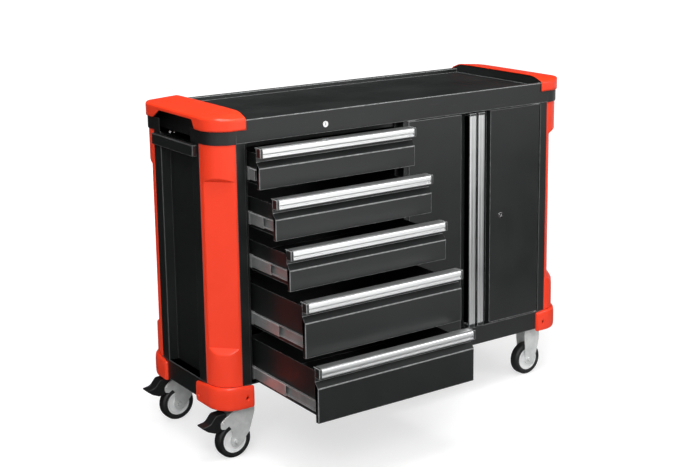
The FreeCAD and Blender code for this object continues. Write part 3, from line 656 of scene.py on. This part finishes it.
def metal(name, colour, roughness, cloud_size, streak, metallic=1.0):
    """Bare or plated metal: shade and gloss wander over cloud_size mm, and fine
    lines drawn out along the streak directions break up the shine."""
    made, tree, skin = finish(name, colour, roughness, metallic)
    cloud = grain(tree, cloud_size, 3.0)
    dull = tuple(c * 0.82 for c in colour)
    coat = blended(tree, between(tree, cloud, *grain_spread, 0.0, 1.0), dull, colour)
    lines = grain(tree, 1.2, 2.0, streak)
    gloss = between(tree, lines, 0.25, 0.75, roughness - 0.07, roughness + 0.09)
    dressed(tree, skin, coat, gloss)
    relief(tree, skin, lines, 0.006, 0.5)
    return made


every_way = (1.0, 1.0, 1.0)


def pan_head(centre, out, radius, high):
    """Disc whose height over the distance r from its middle is that of a flat
    dome, less a cross-shaped recess; its last ring drops to the seat."""
    ring = np.array([
        0.0, 0.12, 0.2, 0.28, 0.36, 0.44, 0.52, 0.6, 0.7, 0.8, 0.88, 0.94, 0.98, 1.0, 1.0])
    angle = np.linspace(0.0, 2.0 * np.pi, 48, endpoint=False)
    r, a = np.meshgrid(ring * radius, angle, indexing="ij")
    u, v = r * np.cos(a), r * np.sin(a)
    dome = high * (0.55 + 0.45 * np.sqrt(np.clip(1.0 - (r / radius) ** 2, 0.0, 1.0)))
    arm, slim = 0.52 * radius, 0.13 * radius
    cross = ((np.abs(u) < slim) & (np.abs(v) < arm)) | ((np.abs(v) < slim) & (np.abs(u) < arm))
    dome = np.where(cross, dome - 0.55 * high, dome)
    dome[-1] = 0.0
    out = np.array(out, float)
    up = np.array([1.0, 0.0, 0.0]) if out[2] else np.array([0.0, 0.0, 1.0])
    side = np.cross(out, up)
    return np.array(centre) + u[..., None] * side + v[..., None] * up + dome[..., None] * out


# The bumper screws' heads are painted dark, as shade in their sunk holes.
dark_screw_painted_shade = metal("screw_head_painted_shade", (0.09, 0.09, 0.09), 0.4, 6.0, every_way)
bright_zinc = metal("bright_screw", (0.95, 0.95, 0.94), 0.25, 6.0, every_way, 0.3)
sunk = [pan_head(c, o, 3.8, 4.6) for c, o in sinks]
bumper_screws = new_piece("bumper_screws", sunk, [dark_screw_painted_shade], "cabinet", "zinc", ring=True)
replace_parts(bumper_screws, "screws")
top_fold = 896.5
grip_heads = [
    pan_head((-614.6, 271.8, top_fold), (0.0, 0.0, 1.0), 4.0, 3.0),
    pan_head((-605.8, 264.8, top_fold), (0.0, 0.0, 1.0), 2.0, 1.2),
]
new_piece("handle_screws", grip_heads, [bright_zinc], "cabinet", "zinc", ring=True)

# --- Side handle --------------------------------------------------------------
# A bar pressed from 2.5 mm steel across the recess of the left side, standing
# 15 mm off the posts on two pads.
folded_sheet("side_handle", 2.5, 3.0, "cabinet", "black_steel", black_coat, plain_folds_highlight_and_wear, 0.8)

# --- Drawers ------------------------------------------------------------------
# Each is a spot-welded tray of 1 mm steel with a front folded in one piece: a
# face, a lip sloping back over it and an upstand for the pull rail. The rail is
# an aluminium extrusion, anodised, with a black plastic end at either side.
# For each drawer, the height of its pull rail and how far it stands open.
drawer_rails = ((863.1, 58.2), (738.6, 135.5), (615.7, 200.4), (491.3, 270.0), (331.1, 325.2))
pull_left, pull_right = -515.3, -14.0


def along(section, low, high, axis, count=2):
    """A closed section of (a, b) points carried straight from low to high: grid
    rows are stations along the axis, columns go round the section."""
    station = np.linspace(low, high, count)
    a = np.broadcast_to(section[:, 0], (count, len(section)))
    b = np.broadcast_to(section[:, 1], (count, len(section)))
    c = np.broadcast_to(station[:, None], a.shape)
    order = {"x": (c, a, b), "y": (a, c, b), "z": (a, b, c)}[axis]
    return np.stack(order, axis=-1)


def rounded_section(points, steps=6):
    """Closed outline through (a, b, radius) corners: each corner with a radius
    becomes an arc, its points at even angles between the two touching points."""
    corners = np.array(points, float)
    before = np.roll(corners, 1, axis=0)
    after = np.roll(corners, -1, axis=0)
    rows = []
    for p, q, s in zip(corners, before, after):
        if p[2] == 0.0:
            rows.append(p[:2][None])
            continue
        u = (q[:2] - p[:2]) / np.linalg.norm(q[:2] - p[:2])
        v = (s[:2] - p[:2]) / np.linalg.norm(s[:2] - p[:2])
        half = math.acos(np.clip(u @ v, -1.0, 1.0)) / 2.0
        centre = p[:2] + (u + v) / np.linalg.norm(u + v) * p[2] / math.sin(half)
        first = p[:2] + u * p[2] / math.tan(half) - centre
        last = p[:2] + v * p[2] / math.tan(half) - centre
        share = np.linspace(0.0, 1.0, steps)[:, None]
        spin = math.pi - 2.0 * half
        swept = np.sin((1.0 - share) * spin) * first + np.sin(share * spin) * last
        rows.append(centre + swept / math.sin(spin))
    return np.concatenate(rows)


def extruded(name, colour, roughness, streak):
    """Anodised extrusion: drawn-out die lines along its length in gloss, shade and
    relief, and a faint cloudiness from the bath."""
    made, tree, skin = finish(name, colour, roughness, metallic=1.0)
    lines = grain(tree, 1.6, 2.0, streak)
    cloud = grain(tree, 60.0, 2.0)
    dull = tuple(c * 0.9 for c in colour)
    coat = blended(tree, between(tree, lines, *grain_spread, 0.0, 1.0), dull, colour)
    gloss = between(tree, cloud, *grain_spread, roughness - 0.02, roughness + 0.03)
    dressed(tree, skin, coat, gloss)
    relief(tree, skin, lines, 0.002, 0.2)
    return made


rail_aluminium = extruded("anodised_rail", (0.86, 0.87, 0.87), 0.3, (0.0005, 1.0, 1.0))
# Each corner of the rail: how far back, how high, and its rounding.
pull_section = rounded_section([
    (-7.0, 0.0, 1.2), (-7.0, 4.5, 0.8), (-5.1, 6.2, 0.5), (-5.1, 8.6, 0.5), (-7.0, 12.0, 1.5),
    (-6.6, 26.5, 6.5), (22.0, 26.5, 0.8), (22.0, 12.0, 0.6), (20.0, 12.0, 0.6),
    (20.0, 24.5, 0.5), (-4.6, 24.5, 3.0), (-4.6, 0.0, 0.6),
])
for number, (rail_z, opening) in enumerate(drawer_rails, 1):
    body = "drawer_%d" % number
    folded_sheet(body + "_box", 1.2, 2.0, body, "black_steel", black_coat, front_folds_highlight_and_wear)
    outline = pull_section + np.array([-opening, rail_z])
    rail = new_piece(
        body + "_pull", [along(outline, pull_left, pull_right, "x")], [rail_aluminium], body,
        "aluminium", ring=True, ends=True)
    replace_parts(rail, body + "_rail")

# --- Drawer slides ------------------------------------------------------------
# Three nested C-shaped rails of zinc-plated steel on each side of each drawer:
# one fixed to the liner, one floating, one on the drawer.
front_to_back = (1.0, 0.02, 1.0)
slide_zinc = metal("slide_zinc_plate", (0.42, 0.43, 0.43), 0.34, 30.0, front_to_back, 0.6)
# Pale zinc for the rounded folds and rims of the slides, hinges, lock bar and casters: on the
# darker slide plate it is a painted highlight.
zinc_edge_painted_highlight = metal("slide_cut_edge", (0.8, 0.8, 0.8), 0.25, 30.0, front_to_back, 0.5)
slide_look = ("zinc", slide_zinc, zinc_edge_painted_highlight, 0.25)
for number in range(1, 6):
    runner, middle = "drawer_%d_runners" % number, "drawer_%d_slide_middle" % number
    folded_sheet(runner, 1.2, 1.4, "drawer_%d" % number, *slide_look)
    folded_sheet(middle, 1.2, 1.4, "slide_%d" % number, *slide_look)
folded_sheet("slide_outer_rails", 1.2, 1.4, "cabinet", *slide_look)

# --- Cupboard doors -----------------------------------------------------------
# Two folded pans of 1.2 mm steel with a deep channel down the meeting side, and
# a tall aluminium pull rail standing in it between black end blocks.
doors_meet = 272.1
pull_bottom, pull_top = 233.7, 885.4
upright_aluminium = extruded("anodised_door_rail", (0.80, 0.81, 0.81), 0.32, (1.0, 1.0, 0.0005))
# Each corner of the right door's rail: how far across, how far back, its rounding.
upright_section = rounded_section([
    (276.5, 24.0, 0.5), (276.5, -6.0, 1.5), (284.0, -6.0, 0.4), (285.0, -5.3, 0.3),
    (290.0, -5.3, 0.3), (291.0, -6.0, 0.4), (301.5, -6.0, 3.0), (301.5, -1.0, 0.6),
    (299.5, -1.0, 0.6), (299.5, -4.0, 0.5), (278.5, -4.0, 0.6), (278.5, 24.0, 0.5),
])
for side, flip in (("right", 1.0), ("left", -1.0)):
    body = side + "_door"
    folded_sheet(body, 1.2, 1.8, body, "black_steel", black_coat, front_folds_highlight_and_wear)
    outline = upright_section.copy()
    outline[:, 0] = doors_meet + flip * (outline[:, 0] - doors_meet)
    rail = new_piece(
        body + "_pull", [along(outline, pull_bottom, pull_top, "z")], [upright_aluminium], body,
        "aluminium", ring=True, ends=True)
    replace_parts(rail, body + "_rail")
zinc = metal("zinc_plate", (0.8, 0.825, 0.815), 0.45, 18.0, every_way, 0.35)
folded_sheet("hinge_brackets", 3.0, 1.0, "cabinet", "zinc", zinc, zinc_edge_painted_highlight, 0.5)

# --- Locks --------------------------------------------------------------------
# Chromed barrels with a key slot, one in the apron for the drawers and one in
# the right door; the drawer lock lifts a zinc-plated bar behind the fronts.
chrome = metal("bright_chrome", (0.78, 0.78, 0.78), 0.14, 25.0, every_way)
folded_sheet("drawer_lock", 3.0, 0.8, "drawer_lock", "chrome", chrome, chrome, 0.5)
folded_sheet("door_lock", 3.0, 0.8, "door_lock", "chrome", chrome, chrome, 0.5)
folded_sheet("lock_bar", 2.0, 0.6, "lock_bar", "zinc", zinc, zinc_edge_painted_highlight, 0.4)

# --- Casters ------------------------------------------------------------------
# Rigid forks on the right and swivel forks with brake pedals on the left, pressed
# from 2.5 mm zinc-plated steel, each with a bolt for its wheel, nuts outside.
# The front swivel plate has a corner cut off beside the drawers, as the base has.
zinc_look = ("zinc", zinc, zinc_edge_painted_highlight, 0.5)
pedal_look = ("black_plastic", black_plastic, plastic_edge_painted_highlight, 1.0)
folded_sheet("fixed_casters", 3.0, 1.2, "cabinet", *zinc_look)
plates = folded_sheet("swivel_plates", 3.0, 1.2, "cabinet", *zinc_look)
cut_corner(plates.data.vertices, at_x=-504.0, before_y=13.0, cut=(-518.0, 26.0))
for place in ("front", "rear"):
    folded_sheet("swivel_fork_" + place, 2.5, 1.2, "swivel_" + place, *zinc_look)
    folded_sheet("brake_pedal_" + place, 2.0, 1.5, "pedal_" + place, *pedal_look)

# --- Wheels -------------------------------------------------------------------
# Grey-black rubber tyres, nearly flat across the tread with rounded shoulders, on
# pale plastic hubs with a thin web and a thicker boss about the bolt.


def rubber(name):
    """Grey-black tyre compound: dusty where the noise is high, with a dull sheen."""
    made, tree, skin = finish(name, (0.02, 0.02, 0.021), 0.5)
    dust = grain(tree, 22.0, 4.0)
    dusty = between(tree, dust, 0.5, 0.85, 0.0, 0.4)
    coat = blended(tree, dusty, (0.008, 0.0085, 0.009), (0.05, 0.05, 0.048))
    dressed(tree, skin, coat, between(tree, dust, 0.3, 0.8, 0.42, 0.7))
    relief(tree, skin, grain(tree, 0.7, 2.0), 0.04, 0.5)
    return made


tyre_rubber = rubber("tyre_rubber")
hub_plastic = moulded("grey_hub_plastic", (0.88, 0.89, 0.89), 0.36, 0.8, 0.02, 0.08)
axle_z = 52.0
axle_x = {"left": -573.0, "right": 521.0}
axle_y = {"front": 44.0, "rear": 383.0}


def turned_ring(section, x, y, sides=72):
    """A closed section of (distance along the axle, radius) points turned a full
    circle about the axle through x, y: rows go round, columns along the section."""
    angle = np.linspace(0.0, 2.0 * np.pi, sides + 1)
    run = np.broadcast_to(section[:, 0], (sides + 1, len(section)))
    radius = np.broadcast_to(section[:, 1], run.shape)
    across, high = radius * np.cos(angle)[:, None], radius * np.sin(angle)[:, None]
    return np.stack([x + across, y + run, axle_z + high], axis=-1)


# Each corner: how far along the axle, its radius about it, and its rounding.
tyre_section = rounded_section([
    (-14.0, 36.0, 0.8), (-15.4, 38.0, 0.6), (-16.0, 46.5, 2.5), (-10.5, 51.6, 3.0),
    (0.0, 52.0, 30.0), (10.5, 51.6, 3.0), (16.0, 46.5, 2.5), (15.4, 38.0, 0.6), (14.0, 36.0, 0.8),
])
hub_section = rounded_section([
    (-14.0, 35.95, 0.0), (-14.2, 32.0, 0.8), (-11.5, 30.5, 1.0), (-9.0, 28.5, 2.0),
    (-9.0, 15.0, 2.0), (-16.0, 12.5, 1.2), (-17.9, 11.0, 0.8), (-17.9, 6.2, 0.4),
    (17.9, 6.2, 0.4), (17.9, 11.0, 0.8), (16.0, 12.5, 1.2), (9.0, 15.0, 2.0),
    (9.0, 28.5, 2.0), (11.5, 30.5, 1.0), (14.2, 32.0, 0.8), (14.0, 35.95, 0.0),
])
for side, x in axle_x.items():
    for place, y in axle_y.items():
        corner = "%s_%s" % (side, place)
        tyre = new_piece(
            "tyre_tread_" + corner, [turned_ring(tyre_section, x, y)], [tyre_rubber],
            "wheel_" + corner, "tyre", ring=True)
        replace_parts(tyre, "tyre_" + corner)
        hub = new_piece(
            "wheel_hub_" + corner, [turned_ring(hub_section, x, y)], [hub_plastic],
            "wheel_" + corner, "grey_plastic", ring=True)
        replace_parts(hub, "hub_" + corner)

# --- Floor, light and camera --------------------------------------------------
# A white floor that meets a white surround at the horizon, a large soft light
# above and to the left in front, weaker ones from the right, from behind and
# overhead, and the lens of the picture.


def backdrop_paper():
    """Pale floor that the camera sees as white wherever it isn't shaded: mostly its
    own light on camera rays. Mirrored rays see reflectors lying on it, a bright one
    before the drawers and a dimmer one before the doors, a pale band 4 m off, and
    pale floor behind; to everything else it is plain diffuse paper. Distances are
    metres from the middle, and slant is how far right a place lies, over how far in
    front."""
    made = bpy.data.materials.new("backdrop_paper")
    made.use_nodes = True
    tree = made.node_tree
    tree.nodes.clear()
    paper = tree.nodes.new("ShaderNodeBsdfDiffuse")
    paper.inputs["Color"].default_value = (0.55, 0.55, 0.55, 1.0)
    shade = tree.nodes.new("ShaderNodeBsdfDiffuse")
    shade.inputs["Color"].default_value = (0.5, 0.5, 0.5, 1.0)
    glow = tree.nodes.new("ShaderNodeEmission")
    seen = tree.nodes.new("ShaderNodeAddShader")
    tree.links.new(shade.outputs["BSDF"], seen.inputs[0])
    tree.links.new(glow.outputs["Emission"], seen.inputs[1])
    place = tree.nodes.new("ShaderNodeTexCoord")
    length = tree.nodes.new("ShaderNodeVectorMath")
    length.operation = "LENGTH"
    tree.links.new(place.outputs["Object"], length.inputs[0])
    far = length.outputs["Value"]
    tree.links.new(between(tree, far, 1.2, 4.0, 0.62, 1.0), glow.inputs["Strength"])
    spread = tree.nodes.new("ShaderNodeSeparateXYZ")
    tree.links.new(place.outputs["Object"], spread.inputs["Vector"])

    def combined(operation, first, second):
        """Result of one sum, product or quotient of two numbers."""
        step = tree.nodes.new("ShaderNodeMath")
        step.operation = operation
        for socket, value in zip(step.inputs, (first, second)):
            if isinstance(value, float):
                socket.default_value = value
            else:
                tree.links.new(value, socket)
        return step.outputs["Value"]

    ahead = combined("MULTIPLY", spread.outputs["Y"], -1.0)
    slant = combined("DIVIDE", spread.outputs["X"], combined("MAXIMUM", ahead, 0.05))
    far_band = between(tree, far, 3.7, 5.3, 0.0, 0.85)
    not_left = between(tree, slant, -0.6, 0.0, 0.3, 1.0)
    not_near = between(tree, far, 1.3, 2.0, 0.08, 1.0)
    before_drawers = combined(
        "MULTIPLY", between(tree, slant, 0.62, 0.85, 1.5, 0.0),
        combined("MULTIPLY", not_left, not_near))
    before_doors = combined(
        "MULTIPLY", between(tree, slant, 0.5, 0.8, 0.0, 1.0),
        between(tree, far, 0.9, 1.7, 0.6, 0.0))
    reflectors = combined("MAXIMUM", combined("MAXIMUM", far_band, before_doors), before_drawers)
    front = combined("MULTIPLY", reflectors, between(tree, ahead, -0.2, 0.4, 0.0, 1.0))
    not_left_behind = between(tree, spread.outputs["X"], -0.8, 0.4, 0.04, 1.0)
    behind = combined(
        "MULTIPLY", between(tree, far, 0.8, 4.5, 0.3, 0.9),
        combined("MULTIPLY", not_left_behind, between(tree, ahead, -0.4, 0.2, 1.0, 0.0)))
    mirrored = tree.nodes.new("ShaderNodeEmission")
    tree.links.new(combined("MAXIMUM", front, behind), mirrored.inputs["Strength"])
    rays = tree.nodes.new("ShaderNodeLightPath")
    in_metal = tree.nodes.new("ShaderNodeMixShader")
    tree.links.new(rays.outputs["Is Glossy Ray"], in_metal.inputs["Fac"])
    tree.links.new(paper.outputs["BSDF"], in_metal.inputs[1])
    tree.links.new(mirrored.outputs["Emission"], in_metal.inputs[2])
    choice = tree.nodes.new("ShaderNodeMixShader")
    tree.links.new(rays.outputs["Is Camera Ray"], choice.inputs["Fac"])
    tree.links.new(in_metal.outputs["Shader"], choice.inputs[1])
    tree.links.new(seen.outputs["Shader"], choice.inputs[2])
    result = tree.nodes.new("ShaderNodeOutputMaterial")
    tree.links.new(choice.outputs["Shader"], result.inputs["Surface"])
    return made


floor_reach = np.linspace(-30.0, 30.0, 5)
floor_x, floor_y = np.meshgrid(floor_reach, floor_reach, indexing="ij")
floor_points = np.stack([floor_x, floor_y, np.zeros_like(floor_x)], axis=-1).reshape(-1, 3)
cells = np.arange(floor_x.size).reshape(floor_x.shape)
floor_quads = np.stack([cells[:-1, :-1], cells[1:, :-1], cells[1:, 1:], cells[:-1, 1:]], axis=-1)
floor_mesh = bpy.data.meshes.new("studio_floor")
floor_mesh.from_pydata(floor_points.tolist(), [], floor_quads.reshape(-1, 4).tolist())
floor_mesh.materials.append(backdrop_paper())
floor = bpy.data.objects.new("studio_floor", floor_mesh)
bpy.context.scene.collection.objects.link(floor)


def soft_light(name, place, target, size, power):
    """Square area light of size metres at place, facing target."""
    lamp = bpy.data.lights.new(name, "AREA")
    lamp.shape = "SQUARE"
    lamp.size = size
    lamp.energy = power
    holder = bpy.data.objects.new(name, lamp)
    holder.location = place
    aim = Vector(target) - Vector(place)
    holder.rotation_euler = aim.to_track_quat("-Z", "Y").to_euler()
    bpy.context.scene.collection.objects.link(holder)
    return holder


soft_light("key_light", (-2.6, -3.2, 3.2), (0.0, 0.0, 0.6), 2.2, 120.0)
soft_light("fill_light", (2.6, -3.4, 2.0), (0.2, 0.0, 0.5), 2.0, 42.0)
back_light = soft_light("back_light", (1.6, 3.8, 2.9), (0.0, 0.2, 0.5), 2.2, 45.0)
back_light.visible_glossy = False
soft_light("top_light", (-0.4, -0.6, 3.4), (0.0, 0.0, 0.9), 1.8, 78.0)

# The surround is white to the camera, grey as light on the object, and in its
# gloss a pale wall in front that turns nearly black behind.
world = bpy.data.worlds.new("studio")
world.use_nodes = True
bpy.context.scene.world = world
sky = world.node_tree
ambient = sky.nodes["Background"]
ambient.inputs["Color"].default_value = (1.0, 1.0, 1.0, 1.0)
rays = sky.nodes.new("ShaderNodeLightPath")
toward = sky.nodes.new("ShaderNodeTexCoord")
height = sky.nodes.new("ShaderNodeSeparateXYZ")
sky.links.new(toward.outputs["Generated"], height.inputs["Vector"])
front_wall = between(sky, height.outputs["Z"], 0.1, 0.8, 0.5, 0.3)
back_wall = between(sky, height.outputs["Y"], -0.2, 0.4, 1.0, 0.05)
wall = sky.nodes.new("ShaderNodeMath")
wall.operation = "MULTIPLY"
sky.links.new(front_wall, wall.inputs[0])
sky.links.new(back_wall, wall.inputs[1])
plain = sky.nodes.new("ShaderNodeMix")
plain.inputs["A"].default_value = 0.35
sky.links.new(rays.outputs["Is Glossy Ray"], plain.inputs["Factor"])
sky.links.new(wall.outputs["Value"], plain.inputs["B"])
seen = sky.nodes.new("ShaderNodeMix")
seen.inputs["B"].default_value = 1.0
sky.links.new(rays.outputs["Is Camera Ray"], seen.inputs["Factor"])
sky.links.new(plain.outputs["Result"], seen.inputs["A"])
sky.links.new(seen.outputs["Result"], ambient.inputs["Strength"])

# Solved from points of the photograph: lens in mm, shift as a share of the width,
# angles in degrees, and the place of the lens in metres.
camera_turns = (34.61132, -11.41852, -0.70334)
camera_stand = (-2.2533, -3.0653, 1.5659)
eye = bpy.data.cameras.new("camera")
eye.sensor_width = 36.0
eye.lens = 68.128
eye.shift_y = -0.1143
eye.clip_end = 60.0
camera = bpy.data.objects.new("camera", eye)
yaw, pitch, roll = (math.radians(turn) for turn in camera_turns)
ahead = Vector((math.sin(yaw) * math.cos(pitch), math.cos(yaw) * math.cos(pitch), math.sin(pitch)))
level_right = Vector((math.cos(yaw), -math.sin(yaw), 0.0))
level_up = level_right.cross(ahead)
right = level_right * math.cos(roll) + level_up * math.sin(roll)
up = level_up * math.cos(roll) - level_right * math.sin(roll)
stand = camera.matrix_world.copy()
for row in range(3):
    stand[row][0], stand[row][1], stand[row][2] = right[row], up[row], -ahead[row]
    stand[row][3] = camera_stand[row]
camera.matrix_world = stand
bpy.context.scene.collection.objects.link(camera)
bpy.context.scene.camera = camera

bpy.context.scene.view_settings.view_transform = "Standard"
